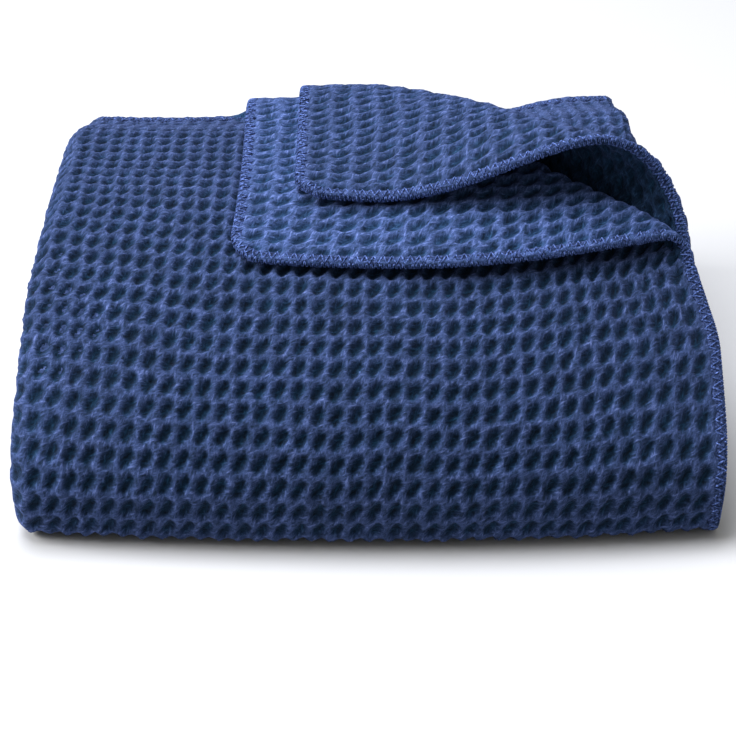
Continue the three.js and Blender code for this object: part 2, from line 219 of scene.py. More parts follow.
class FoldLine:
    """The line of one layer's middle, measured along its length."""

    def __init__(self, depth):
        fine = np.concatenate([np.linspace(a, a + 1, 400, endpoint=False) for a in range(4)] + [[4.0]])
        y, z = fold_point(fine, depth)
        length = np.concatenate([[0], np.cumsum(np.hypot(np.diff(y), np.diff(z)))])
        ty, tz = np.gradient(y, length), np.gradient(z, length)
        size = np.hypot(ty, tz)
        self.stage, self.length, self.total = fine, length, length[-1]
        self.columns = (y, z, -tz / size, ty / size)

    def at(self, v):
        """(y, z, normal y, normal z) at distances v from the top back end; the normal points outwards."""
        y, z, ny, nz = (np.interp(v, self.length, c) for c in self.columns)
        return y, z, -ny, -nz

    def stage_at(self, v):
        return np.interp(v, self.length, self.stage)


lines = [FoldLine(layer + 0.5) for layer in range(LAYERS)]


# ---- Turned-back corners ----


class Corner:
    """The open right back corner of a layer, turned back over the top on a diagonal fold.

    Cloth is addressed by x and by v, the distance along the layer from its back hem. The fold crosses the right
    edge at edge_leg from the back hem, and the back hem at back_leg from the right edge. Beyond the fold the
    cloth goes round a soft roll and comes to rest on what lies in front of the fold.

    skew pulls the back hem out of square. radii are the roll's, at the right edge and at the back hem, with
    pinch taken off halfway, and curl brings the fold forward at the back hem. The flap comes down from the roll
    over settle_over, to lie rest layers above its own. lift is a little air under all of it.
    """

    def __init__(self, name, layer, edge_leg, back_leg, skew, radii, pinch, curl, settle_over, rest, lift):
        self.name, self.layer, self.skew = name, layer, skew
        self.radii, self.pinch, self.curl = radii, pinch, curl
        self.edge_leg, self.back_leg = edge_leg, back_leg
        self.settle_over, self.rest, self.lift = settle_over, rest, lift
        self.line = lines[layer]
        self.edge = RIGHT - 1.0
        size = math.hypot(1 / edge_leg, 1 / back_leg)
        self.normal = (1 / back_leg / size, -1 / edge_leg / size)  # in x and v, towards the corner

    def pulled(self, x, v):
        """v with the back hem a little out of square: by skew at the corner, and by nothing at the fold."""
        outwards = np.clip((x - self.edge + self.back_leg) / self.back_leg, 0, 1)
        return v - self.skew * outwards * (1 - np.clip(v / self.edge_leg, 0, 1))

    def turned(self, x, v):
        """Whether a point of the flat cloth is past the fold line."""
        return self.beyond(x, self.pulled(x, v)) > 0

    def beyond(self, x, v):
        """How far a point is past the fold line."""
        straight = (x - self.edge) * self.normal[0] + (v - self.edge_leg) * self.normal[1]
        return straight + self.curl * smooth(self.share(x, v), 0.55, 1)

    def share(self, x, v):
        """Where along the fold a point is: 0 at the right edge, 1 at the back hem."""
        along = (self.edge - x) * -self.normal[1] + (self.edge_leg - v) * self.normal[0]
        return np.clip(along / math.hypot(self.edge_leg, self.back_leg), 0, 1)

    def radius(self, share):
        right, left = self.radii
        return right + (left - right) * share - self.pinch * np.sin(math.pi * share)

    def hollow(self, x, v):
        """1 where the cloth is in the roll, falling to 0 on the flat of the flap; it masks the painted shade in
        the roll's hollow.
        """
        v = self.pulled(x, v)
        roll = math.pi * self.radius(self.share(x, v))
        return 1 - smooth(self.beyond(x, v) / roll, 0.8, 1.4)

    def place(self, x, v):
        """The middle of the cloth, for flat cloth at x and v."""
        v = self.pulled(x, v)
        d = self.beyond(x, v)
        share = self.share(x, v)
        radius = self.radius(share)
        past = d - math.pi * radius
        around = np.clip(d, 0, None) / radius
        low = self.rest * PITCH
        settled = np.clip(past / self.settle_over, 0, 1)
        across = np.where(past > 0, -past, radius * np.sin(around))
        height = np.where(
            past > 0,
            low + (2 * radius - low) * (1 + np.cos(math.pi * settled)) / 2,
            radius * (1 - np.cos(around)),
        )
        flat = d <= 0
        across = np.where(flat, d, across)
        height = np.where(flat, 0, height + self.lift * smooth(d, 0, 10))
        moved = across - d
        return self.on_line(x + moved * self.normal[0], v + moved * self.normal[1], height)

    def hem_point(self, distance, inset):
        """x and v on the cloth's rounded edge, from the distance along it, from the right end of the fold."""
        straight = self.edge_leg - CORNER_RADIUS
        arc = CORNER_RADIUS * math.pi / 2
        turn = np.clip((distance - straight) / CORNER_RADIUS, 0, math.pi / 2)
        radius = CORNER_RADIUS - inset
        x = self.edge - CORNER_RADIUS + radius * np.cos(turn) - np.clip(distance - straight - arc, 0, None)
        v = CORNER_RADIUS - radius * np.sin(turn) + np.clip(straight - distance, 0, None)
        return x, v

    def hem_length(self):
        return self.edge_leg + self.back_leg - 2 * CORNER_RADIUS + CORNER_RADIUS * math.pi / 2

    def on_line(self, x, v, height):
        y, z, ny, nz = self.line.at(np.clip(v, 0, None))
        y = y + np.clip(-v, 0, None)
        return np.stack([x, y + ny * height, z + nz * height], -1)


CORNERS = {
    "lower": Corner(
        "lower", layer=0, edge_leg=271.0, back_leg=268.0, skew=14.0, radii=(5.5, 10.0), pinch=0.0, curl=12.0,
        settle_over=160.0, rest=1.0, lift=0.6),
    "upper": Corner(
        "upper", layer=1, edge_leg=292.0, back_leg=246.0, skew=-12.0, radii=(38.0, 16.5), pinch=7.5, curl=12.0,
        settle_over=92.0, rest=3.6, lift=1.2),
}


# ---- Meshes ----


def normals_of(grid):
    """Unit outward normals of a grid of points, rows along the strip and columns across it."""
    along = np.gradient(grid, axis=0)
    across = np.gradient(grid, axis=1)
    normal = np.cross(along, across)
    return normal / np.clip(np.linalg.norm(normal, axis=-1, keepdims=True), 1e-9, None)


def waffle(across, along):
    """Height of the weave, 0 at the bottom of a pit and 1 on the ridges, with a little unevenness."""
    a = (across + 0.9 * cell_wander(across, along)) / CELL_ACROSS
    b = (along + 0.9 * cell_wander_along(across, along)) / CELL_ALONG
    # Ridges lean a little one way between crossings, as brushed cotton does.
    lean_a = a + SKEW * np.sin(math.tau * b)
    lean_b = b + SKEW * np.sin(math.tau * a)
    ridge_a = (0.5 + 0.5 * np.cos(math.tau * lean_a)) ** 1.3
    ridge_b = (0.5 + 0.5 * np.cos(math.tau * lean_b)) ** 1.6
    ridges = np.clip((1 - (1 - ridge_a) * (1 - ridge_b) - 0.14) / 0.8, 0, 1)  # flat pits and full ridges
    fuzz = rng.normal(0, 0.05, np.shape(a))
    return np.clip(0.88 * ridges + 0.12 * ridge_a * ridge_b + 0.1 * pit_change(across, along) + fuzz, 0, 1.15)


def new_object(name, vertices, faces, material, uv=None, pit=None):
    """A mesh from settled points in millimetres. faces is a list of integer arrays, each of one face size."""
    faces = [np.asarray(f, np.int64) for f in faces if len(f)]
    used, flat = np.unique(np.concatenate([f.ravel() for f in faces]), return_inverse=True)
    sizes = np.concatenate([np.full(len(f), f.shape[1]) for f in faces])
    starts = np.concatenate([[0], np.cumsum(sizes)[:-1]])
    mesh = bpy.data.meshes.new(name)
    mesh.vertices.add(len(used))
    mesh.vertices.foreach_set("co", (np.asarray(vertices)[used] / 1000).astype(np.float32).ravel())
    mesh.loops.add(len(flat))
    mesh.loops.foreach_set("vertex_index", flat.astype(np.int32).ravel())
    mesh.polygons.add(len(sizes))
    mesh.polygons.foreach_set("loop_start", starts.astype(np.int32))
    mesh.polygons.foreach_set("use_smooth", np.ones(len(sizes), bool))
    mesh.update(calc_edges=True)
    if uv is not None:
        layer = mesh.uv_layers.new(name="cloth")
        layer.data.foreach_set("uv", (np.asarray(uv)[used][flat.ravel()] / 100).astype(np.float32).ravel())
    if pit is not None:
        attribute = mesh.attributes.new("pit", "FLOAT", "POINT")
        attribute.data.foreach_set("value", np.asarray(pit)[used].astype(np.float32))
    mesh.materials.append(material)
    piece = bpy.data.objects.new(name, mesh)
    bpy.context.scene.collection.objects.link(piece)
    return piece


def cloth_piece(
        name, middle, across, along, keep=None, relief=(1.0, 1.0), underside=True, material=None, shade=0.0):
    """A sheet with thickness about a grid of middle points, woven on its outer and its inner face.

    middle is rows x columns x 3, in the straight frame. across and along are the cloth's own coordinates,
    and keep says which cells of the grid the piece has. shade, a share, dims the outer face as painted shade:
    the shade in the hollow of a turned-back corner, laid into the colour.
    """
    rows, columns = middle.shape[:2]
    keep = np.ones((rows - 1, columns - 1), bool) if keep is None else keep
    normal = normals_of(middle)
    front = waffle(across, along)
    back = waffle(across + CELL_ACROSS / 2, along + CELL_ALONG / 2)
    outer = THICK / 2 - relief[0] * PIT * (1 - front)
    inner = THICK / 2 - relief[1] * PIT * (1 - back)
    points = np.concatenate([
        (middle + normal * outer[..., None]).reshape(-1, 3),
        (middle - normal * inner[..., None]).reshape(-1, 3),
    ])
    index = np.arange(rows * columns).reshape(rows, columns)
    count = rows * columns
    a, b, c, d = index[:-1, :-1], index[:-1, 1:], index[1:, 1:], index[1:, :-1]
    top = np.stack([a, d, c, b], -1)[keep]
    faces = [top]
    if underside:
        faces.append(top[:, ::-1] + count)
    faces.append(rim(keep, index, count))
    uv = np.tile(np.stack([across, along], -1).reshape(-1, 2), (2, 1))
    painted_shade = shade + (1 - shade) * relief[0] * (1 - front)  # painted shade of the outer face: in the roll's hollow, and in the pits
    pit = np.concatenate([painted_shade.ravel(), relief[1] * (1 - back).ravel()])
    return new_object(name, settle(points), faces, material or waffle_cloth, uv, pit)


def rim(keep, index, count):
    """Faces that join the outer and the inner face round the border of the kept cells."""
    padded = np.pad(keep, 1)
    inside = padded[1:-1, 1:-1]
    sides = [
        (inside & ~padded[:-2, 1:-1], index[:-1, :-1], index[:-1, 1:]),
        (inside & ~padded[2:, 1:-1], index[1:, 1:], index[1:, :-1]),
        (inside & ~padded[1:-1, :-2], index[1:, :-1], index[:-1, :-1]),
        (inside & ~padded[1:-1, 2:], index[:-1, 1:], index[1:, 1:]),
    ]
    quads = [np.stack([p[m], q[m], q[m] + count, p[m] + count], -1) for m, p, q in sides]
    return np.concatenate(quads)


def tube(points, radius, sides=5):
    """Settled vertices, and faces, of a round thread along a line of points of the straight frame."""
    tangent = np.gradient(points, axis=0)
    tangent /= np.clip(np.linalg.norm(tangent, axis=1, keepdims=True), 1e-9, None)
    helper = np.where(np.abs(tangent[:, 2:3]) > 0.9, [[1.0, 0.0, 0.0]], [[0.0, 0.0, 1.0]])
    e1 = np.cross(tangent, helper)
    e1 /= np.clip(np.linalg.norm(e1, axis=1, keepdims=True), 1e-9, None)
    e2 = np.cross(tangent, e1)
    angle = np.arange(sides) * math.tau / sides
    ring = e1[:, None] * np.cos(angle)[:, None] + e2[:, None] * np.sin(angle)[:, None]
    vertices = (points[:, None] + radius * ring).reshape(-1, 3)
    i, j = np.meshgrid(np.arange(len(points) - 1), np.arange(sides), indexing="ij")
    k = (j + 1) % sides
    faces = np.stack([i * sides + j, i * sides + k, (i + 1) * sides + k, (i + 1) * sides + j], -1)
    return settle(vertices), faces.reshape(-1, 4)


class Builder:
    """Gathers settled vertices and quads of several parts into one mesh."""

    def __init__(self):
        self.vertices, self.faces, self.pits, self.total = [], [], [], 0

    def add(self, vertices, faces, pit=0.0):
        self.vertices.append(vertices)
        self.faces.append(np.asarray(faces) + self.total)
        self.pits.append(np.full(len(vertices), pit))
        self.total += len(vertices)

    def make(self, name, material):
        vertices, faces = np.concatenate(self.vertices), np.concatenate(self.faces)
        return new_object(name, vertices, [faces], material, pit=np.concatenate(self.pits))


# ---- Hems ----


class Seam:
    """The line of a hem in the straight frame, measured along its length.

    edge and inner are lines of points at the cloth's edge and HEM_WIDTH inside it, and normal is the cloth's
    outward normal beside them.
    """

    def __init__(self, edge, inner, normal):
        self.edge, self.inward, self.normal = edge, (inner - edge) / HEM_WIDTH, normal
        step = np.linalg.norm(np.diff((edge + inner) / 2, axis=0), axis=1)
        self.length = np.concatenate([[0], np.cumsum(step)])
        self.total = self.length[-1]
        self.stitches = max(2, int(round(self.total / STITCH)))

    def at(self, distance, inset, off):
        """Points from the distance along the hem, the inset from its edge and the height off its middle."""
        edge, inward, normal = (
            np.stack([np.interp(distance, self.length, column) for column in line.T], -1)
            for line in (self.edge, self.inward, self.normal))
        return edge + inward * inset[..., None] + normal * off[..., None]


def squared(wave):
    """A sine or cosine made fuller, so that it draws a rounded box instead of a circle."""
    return np.sign(wave) * np.abs(wave) ** 0.7


def add_band(made, seam, detail):
    """The rounded edge of the cloth inside the stitching, with a flat cap at each end."""
    rows = max(4, int(seam.total / (BAND_STEP / detail)))
    along = np.linspace(0, seam.total, rows)
    angle = np.linspace(0, math.tau, BAND_SIDES, endpoint=False)
    swell = 1 + 0.05 * np.sin(math.tau * along / (STITCH / 2))[:, None]
    inset = HEM_WIDTH / 2 * (1 - squared(np.cos(angle)))
    off = BAND_HALF * swell * squared(np.sin(angle))
    band = seam.at(np.repeat(along[:, None], BAND_SIDES, 1), np.repeat(inset[None], rows, 0), off)
    index = np.arange(rows * BAND_SIDES).reshape(rows, BAND_SIDES)
    following = np.roll(index, -1, axis=1)
    quads = np.stack([index[:-1], following[:-1], following[1:], index[1:]], -1)
    made.add(settle(band.reshape(-1, 3)), quads.reshape(-1, 4), pit=1.0)
    for ring, order in ((index[0], 1), (index[-1], -1)):
        far = ring[::-1]
        cap = [[ring[k], ring[k + 1], far[k + 1], far[k]] for k in range(BAND_SIDES // 2 - 1)]
        made.add(np.zeros((0, 3)), np.array(cap)[:, ::order] - made.total)


def add_zigzags(made, seam, detail):
    """A thread that zigzags over each face of the band, a little unevenly."""
    beats = 2 * seam.stitches + 1
    jitter = rng.uniform(-0.35, 0.35, (4, beats))[0]
    beat = np.linspace(0, seam.total, beats)
    inside = np.arange(beats) % 2 == 0
    fine = np.linspace(0, seam.total, (8 if detail > FINE_DETAIL else 4) * seam.stitches + 1)
    for face in (1, -1):
        insets = np.interp(fine, beat, np.where(inside, HEM_WIDTH - THREAD_INSET, THREAD_INSET) + jitter)
        off_centre = np.abs(insets - HEM_WIDTH / 2) / (HEM_WIDTH / 2)
        lifted = face * (BAND_HALF + 0.25 - 0.9 * off_centre**4)
        made.add(*tube(seam.at(fine, insets, lifted), THREAD))


def add_edge_loops(made, seam, detail):
    """A finer thread that loops round the outer edge of the band, twice in each stitch."""
    beats = 4 * seam.stitches + 1
    beat = np.linspace(0, seam.total, beats)
    fine = np.linspace(0, seam.total, (16 if detail > FINE_DETAIL else 8) * seam.stitches + 1)
    turn = np.interp(fine, beat, np.where(np.arange(beats) % 2 == 0, 1.0, -1.0))
    angle = turn * math.pi / 2
    line = seam.at(fine, 1.1 - 1.5 * np.cos(angle), (BAND_HALF + 0.15) * np.sin(angle))
    made.add(*tube(line, THREAD * 0.9))


def hem_piece(name, edge, inner, normal, detail):
    """An overlocked edge: a rounded band, wrapped in thread. detail is how closely it is sampled."""
    seam = Seam(edge, inner, normal)
    made = Builder()
    add_band(made, seam, detail)
    add_zigzags(made, seam, detail)
    add_edge_loops(made, seam, detail)
    return made.make(name, hem_thread)


# ---- Materials ----


def new_material(name):
    material = bpy.data.materials.new(name)
    material.use_nodes = True
    nodes, links = material.node_tree.nodes, material.node_tree.links
    shader = nodes["Principled BSDF"]
    return material, nodes, links, shader


def node(nodes, kind, **inputs):
    made = nodes.new(kind)
    for name, value in inputs.items():
        made.inputs[name.replace("_", " ")].default_value = value
    return made


def linear(red, green, blue):
    """A colour as a shader wants it, from the 0-255 values that a screen shows."""
    values = [c / 255 for c in (red, green, blue)]
    return (*[c / 12.92 if c <= 0.04045 else ((c + 0.055) / 1.055) ** 2.4 for c in values], 1.0)


def ramp_of(nodes, stops):
    """A colour ramp through (position, screen colour) stops."""
    ramp = nodes.new("ShaderNodeValToRGB")
    elements = ramp.color_ramp.elements
    while len(elements) < len(stops):
        elements.new(0.5)
    for element, (position, colour) in zip(elements, stops):
        element.position = position
        element.color = linear(*colour)
    return ramp


def map_range(nodes, from_low, from_high, to_low, to_high):
    made = nodes.new("ShaderNodeMapRange")
    values = {"From Min": from_low, "From Max": from_high, "To Min": to_low, "To Max": to_high}
    for name, value in values.items():
        made.inputs[name].default_value = value
    return made


def make_waffle_cloth(name, brightness):
    """Brushed cotton: bright ridges, pits darkened with painted shade, fine yarns along and across, and a soft
    fuzz.
    """
    material, nodes, links, shader = new_material(name)
    shader.inputs["Roughness"].default_value = 0.95
    shader.inputs["Specular IOR Level"].default_value = 0.15
    shader.inputs["Sheen Weight"].default_value = 0.25
    shader.inputs["Sheen Roughness"].default_value = 0.5
    shader.inputs["Sheen Tint"].default_value = linear(120, 140, 210)

    pit = nodes.new("ShaderNodeAttribute")
    pit.attribute_name = "pit"
    place = nodes.new("ShaderNodeUVMap")
    place.uv_map = "cloth"

    # Yarns: streaks along the cloth and across it, both leaning the way the ridges lean.
    streaks = []
    for long_way, lean in (((0.018, 0.06, 1.0), 0.3), ((0.06, 0.018, 1.0), -0.35)):
        mapping = nodes.new("ShaderNodeMapping")
        mapping.vector_type = "TEXTURE"
        mapping.inputs["Rotation"].default_value = (0, 0, lean)
        mapping.inputs["Scale"].default_value = long_way
        links.new(place.outputs["UV"], mapping.inputs["Vector"])
        noise = node(nodes, "ShaderNodeTexNoise", Scale=1.0, Detail=4.0, Roughness=0.7)
        links.new(mapping.outputs["Vector"], noise.inputs["Vector"])
        streaks.append(noise.outputs["Fac"])
    yarn = nodes.new("ShaderNodeMath")
    yarn.operation = "MAXIMUM"
    links.new(streaks[0], yarn.inputs[0])
    links.new(streaks[1], yarn.inputs[1])
    fibre = ramp_of(nodes, ((0.42, (17, 33, 54)), (0.57, (50, 66, 106)), (0.76, (102, 118, 174))))
    links.new(yarn.outputs["Value"], fibre.inputs["Fac"])

    # Painted shade: the pits are darkened and tinted a little green, as shade falls in them. The cloth is also
    # worn unevenly.
    painted_pit_shade = ramp_of(nodes, ((0.15, (255, 255, 255)), (0.55, (164, 194, 192)), (0.92, (80, 146, 138))))
    links.new(pit.outputs["Fac"], painted_pit_shade.inputs["Fac"])
    blotches = node(nodes, "ShaderNodeTexNoise", Scale=3.0, Detail=4.0, Roughness=0.6)
    links.new(place.outputs["UV"], blotches.inputs["Vector"])
    # Uneven blotches scale the colour as real wear, and brightness scales it as painted light on the lightened
    # copies.
    wear_and_painted_light = map_range(nodes, 0.3, 0.7, 0.84 * brightness, 1.16 * brightness)
    links.new(blotches.outputs["Fac"], wear_and_painted_light.inputs["Value"])
    shaded = nodes.new("ShaderNodeVectorMath")
    shaded.operation = "MULTIPLY"
    links.new(fibre.outputs["Color"], shaded.inputs[0])
    links.new(painted_pit_shade.outputs["Color"], shaded.inputs[1])
    colour = nodes.new("ShaderNodeVectorMath")
    colour.operation = "SCALE"
    links.new(shaded.outputs["Vector"], colour.inputs[0])
    links.new(wear_and_painted_light.outputs["Result"], colour.inputs["Scale"])
    links.new(colour.outputs["Vector"], shader.inputs["Base Color"])

    bump = node(nodes, "ShaderNodeBump", Strength=1.0, Distance=0.0012)
    links.new(yarn.outputs["Value"], bump.inputs["Height"])
    links.new(bump.outputs["Normal"], shader.inputs["Normal"])
    return material


def make_hem_thread():
    """Overlock thread, a little greyer and shinier than the cloth, with a fine twist."""
    material, nodes, links, shader = new_material("hem_thread")
    shader.inputs["Roughness"].default_value = 0.85
    shader.inputs["Specular IOR Level"].default_value = 0.12
    shader.inputs["Sheen Weight"].default_value = 0.1
    shader.inputs["Sheen Tint"].default_value = linear(120, 140, 210)
    place = nodes.new("ShaderNodeTexCoord")
    noise = node(nodes, "ShaderNodeTexNoise", Scale=750.0, Detail=4.0, Roughness=0.7)
    links.new(place.outputs["Object"], noise.inputs["Vector"])
    ramp = ramp_of(nodes, ((0.36, (16, 27, 48)), (0.5, (46, 62, 104)), (0.68, (96, 116, 176))))
    links.new(noise.outputs["Fac"], ramp.inputs["Fac"])
    pit = nodes.new("ShaderNodeAttribute")
    pit.attribute_name = "pit"
    tone = map_range(nodes, 0.0, 1.0, 1.9, 0.8)
    links.new(pit.outputs["Fac"], tone.inputs["Value"])
    colour = nodes.new("ShaderNodeVectorMath")
    colour.operation = "SCALE"
    links.new(ramp.outputs["Color"], colour.inputs[0])
    links.new(tone.outputs["Result"], colour.inputs["Scale"])
    links.new(colour.outputs["Vector"], shader.inputs["Base Color"])
    bump = node(nodes, "ShaderNodeBump", Strength=1.0, Distance=0.0008)
    links.new(noise.outputs["Fac"], bump.inputs["Height"])
    links.new(bump.outputs["Normal"], shader.inputs["Normal"])
    return material


waffle_cloth = make_waffle_cloth("waffle_cloth", 1.0)
waffle_lit = make_waffle_cloth("waffle_cloth_lit", 1.15)  # a copy lightened as painted light, for pieces up where more light falls
waffle_reverse_lit = make_waffle_cloth("waffle_cloth_reverse_lit", 1.65)  # its paler other side, lightened further as painted light
hem_thread = make_hem_thread()


# ---- The pieces of the blanket ----


def number(layer):
    return f"{layer + 1:02d}"


def ends_in_hem(layer, top):
    return layer < PASS if top else layer >= 2 * PASS


HOLLOW_PAINTED_SHADE = 0.7  # painted shade, as a share, on the cloth in the hollow of a turned-back corner, where light hardly reaches
RIGHT_HEMS = {0: 1.0, 1: 3.5, 6: 6.0, 7: 3.0, 8: 5.0, 9: 8.0}  # layer: how far its edge stands back
RIGHT_FOLDS = {"outer": (3, 13.0), "middle": (5, 8.0), "inner": (11, 10.0)}  # middle depth and stand-back


def finish_cloth(piece, nodes, bodies=(STACK,)):
    """Hides the parts of the frame that a cloth piece stands for, and attaches the piece to its body when it
    moves with one body only.
    """
    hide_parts(*nodes)
    if len(bodies) == 1:
        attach(piece, bodies[0])


def spread(start, stop, cell, per_cell):
    """Evenly spaced places from start to stop, with about per_cell of them in each cell."""
    return np.linspace(start, stop, max(2, int(round((stop - start) / cell * per_cell)) + 1))


def right_edge(layer):
    """Where a layer's flat cloth stops on the right."""
    if layer in RIGHT_HEMS:
        return RIGHT - RIGHT_HEMS[layer]
    middle, back = next(v for v in RIGHT_FOLDS.values() if layer in (v[0], v[0] - 1))
    return RIGHT - back - PITCH


def outer_layer():
    """Layer 1, with the left fold of its pass: the face that shows on top, in front and below."""
    line, corner = lines[0], CORNERS["lower"]
    front_end = line.length[np.searchsorted(line.stage, UNDERSIDE_STAGE)]
    along = np.concatenate([
        spread(0, front_end, CELL_ALONG, SAMPLES),
        spread(front_end, line.total, CELL_ALONG, 3)[1:],
    ])
    flat_x = spread(LEFT_FLAT, corner.edge, CELL_ACROSS, SAMPLES)
    turn = spread(0, math.pi, CELL_ACROSS / (1.5 * PITCH), SAMPLES)[1:][::-1]
    across = np.concatenate([LEFT_FLAT - turn * 1.5 * PITCH, flat_x])
    u, v = np.meshgrid(across, along)
    flat = corner.place(u[:, len(turn):], v[:, len(turn):])
    stage = line.stage_at(v[:, : len(turn)])
    depth = 2 - 1.5 * np.cos(turn)[None] * np.ones_like(stage)
    y, z = fold_point(stage, depth)
    x = (LEFT_FLAT - 1.5 * PITCH * np.sin(turn))[None] + 0 * y
    middle = np.concatenate([np.stack([x, y, z], -1), flat], axis=1)
    uc, vc = (u[:-1, :-1] + u[1:, 1:]) / 2, (v[:-1, :-1] + v[1:, 1:]) / 2
    turned = corner.turned(uc, vc)
    leaf = cloth_piece("outer_layer", middle, u, v, ~turned, underside=False)
    finish_cloth(leaf, ["layer_01", "left_fold_outer_pass"])
    # The flap shows the paler reverse, lightened further as painted light, with painted shade in its roll's
    # hollow.
    flap = cloth_piece(
        "lower_corner", middle, u, v, turned & rounded(corner, uc, vc), (0.8, 0.8),
        material=waffle_reverse_lit, shade=HOLLOW_PAINTED_SHADE * corner.hollow(u, v))
    finish_corner(flap, corner)


def rounded(corner, x, v):
    """Which places are inside the cloth's rounded corner."""
    from_edge = corner.edge - x
    near = (from_edge < CORNER_RADIUS) & (v < CORNER_RADIUS)
    gap = np.hypot(CORNER_RADIUS - from_edge, CORNER_RADIUS - v)
    return ~near | (gap < CORNER_RADIUS)


def finish_corner(piece, corner):
    names = [f"{corner.name}_corner_{kind}" for kind in ("flap", "roll")]
    finish_cloth(piece, names, (STACK, f"{corner.name}_corner"))
    bend(piece, corner)


def bend(piece, corner):
    """Bakes the piece's placing into its mesh. It works out the middle of the fold and a reach about it, but
    nothing uses them.
    """
    middle = corner.on_line(
        np.array(corner.edge - corner.back_leg / 2), np.array(corner.edge_leg / 2), np.array(0.0))
    reach = corner.radius(0.5) + 2
    start = settle(middle) / 1000
    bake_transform(piece)


def second_layer():
    """Layer 2, whose corner is the upper one that is turned back. Only its right back part is seen."""
    line, corner = lines[1], CORNERS["upper"]
    seen = corner.edge_leg + FOLD_REACH
    along = np.concatenate([
        spread(0, seen, CELL_ALONG, SAMPLES), spread(seen, line.total, CELL_ALONG, 2)[1:]])
    across = np.concatenate([
        spread(LEFT_FLAT, corner.edge - seen, CELL_ACROSS, 1)[:-1],
        spread(corner.edge - seen, corner.edge, CELL_ACROSS, SAMPLES),
    ])
    u, v = np.meshgrid(across, along)
    middle = corner.place(u, v)
    uc, vc = (u[:-1, :-1] + u[1:, 1:]) / 2, (v[:-1, :-1] + v[1:, 1:]) / 2
    turned = corner.turned(uc, vc)
    leaf = cloth_piece("layer_02_cloth", middle, u, v, ~turned, relief=(0.8, 0), underside=False)
    finish_cloth(leaf, ["layer_02"])
    # The flap takes the copy lightened as painted light, with painted shade in its roll's hollow.
    flap = cloth_piece(
        "upper_corner", middle, u, v, turned & rounded(corner, uc, vc), (0.7, 0.9),
        material=waffle_lit, shade=HOLLOW_PAINTED_SHADE * corner.hollow(u, v))
    finish_corner(flap, corner)


def inner_layer(layer):
    """A layer inside the stack. Layer 3 shows on top where the corners above it are turned back."""
    line = lines[layer]
    shown = layer == 2
    per_cell = SAMPLES if shown else 1
    seen = SHOWN_REACH if shown else EDGE_REACH
    edge = right_edge(layer)
    along = np.concatenate([
        spread(0, seen, CELL_ALONG, per_cell), spread(seen, line.total, CELL_ALONG, 1)[1:]])
    across = np.concatenate([
        spread(LEFT_FLAT, edge - seen, CELL_ACROSS, 1)[:-1],
        spread(edge - seen, edge, CELL_ACROSS, per_cell),
    ])
    u, v = np.meshgrid(across, along)
    y, z, _, _ = line.at(v)
    middle = np.stack([u, y, z], -1)
    relief = (0.65, 0) if shown else (0.15, 0.15)
    # Layer 3, where it shows, takes the copy lightened as painted light.
    material = waffle_lit if shown else waffle_cloth
    leaf = cloth_piece(f"layer_{number(layer)}_cloth", middle, u, v, relief=relief, material=material)
    finish_cloth(leaf, [f"layer_{number(layer)}"])


def turn_in(depth_middle, radius, x, side, name, node_name, samples=SAMPLES):
    """A fold along the left or right side: half a turn about a depth, carried along the front fold's line."""
    angle = half_turn(CELL_ACROSS / radius, samples)[::side]
    depth = depth_middle + radius / PITCH * np.sin(angle)
    line = FoldLine(float(depth_middle))
    along = spread(0, line.total, CELL_ALONG, samples)
    a, v = np.meshgrid(angle, along)
    y, z = fold_point(line.stage_at(v), np.broadcast_to(depth, a.shape))
    middle = np.stack([x + side * radius * np.cos(a), y, z], -1)
    piece = cloth_piece(name, middle, radius * a, v, relief=(0.7, 0))
    finish_cloth(piece, [node_name])


def half_turn(cell, per_cell):
    """Angles of a half turn, with at least six steps."""
    steps = max(6, int(round(math.pi / cell * per_cell)))
    return np.linspace(-math.pi / 2, math.pi / 2, steps + 1)


def side_folds():
    """The folds along the left and right sides. Layer 1's own left fold is part of outer_layer()."""
    for index, (name, (middle, back)) in enumerate(RIGHT_FOLDS.items()):
        centre = index * PASS + 2
        if index:
            turn_in(centre, 1.5 * PITCH, LEFT_FLAT, -1, f"left_fold_{name}", f"left_fold_{name}_pass")
        core = f"left_core_fold_{name}_pass"
        turn_in(centre, 0.5 * PITCH, LEFT_FLAT, -1, f"left_core_{name}", core, 2)
        right = RIGHT - back - PITCH
        turn_in(middle, 0.5 * PITCH, right, 1, f"right_fold_{name}", f"right_fold_{name}_pass")


def back_folds():
    """The half turns at the back that join one pass of the strip to the next."""
    places = {"upper": HEIGHT - 2 * PASS * PITCH, "lower": PASS * PITCH}
    for name, z in places.items():
        for ring in range(PASS):
            radius = (PASS - ring - 0.5) * PITCH
            shown = ring == 0
            layer = ring if name == "lower" else 2 * PASS + PASS - 1 - ring
            edge = right_edge(layer)
            angle = half_turn(CELL_ALONG / radius, SAMPLES if shown else 3)
            across = spread(LEFT_FLAT - BACK_TUCK, edge, CELL_ACROSS, SAMPLES if shown else 1)
            u, a = np.meshgrid(across, angle)
            middle = np.stack([u, BACK_FLAT + radius * np.cos(a), z + radius * np.sin(a)], -1)
            relief = (0.9 if shown else 0.2, 0)
            piece = cloth_piece(f"back_fold_{name}_{ring + 1}_cloth", middle, u, radius * a, relief=relief)
            finish_cloth(piece, [f"back_fold_{name}_{ring + 1}"])


# ---- Hems of the blanket ----


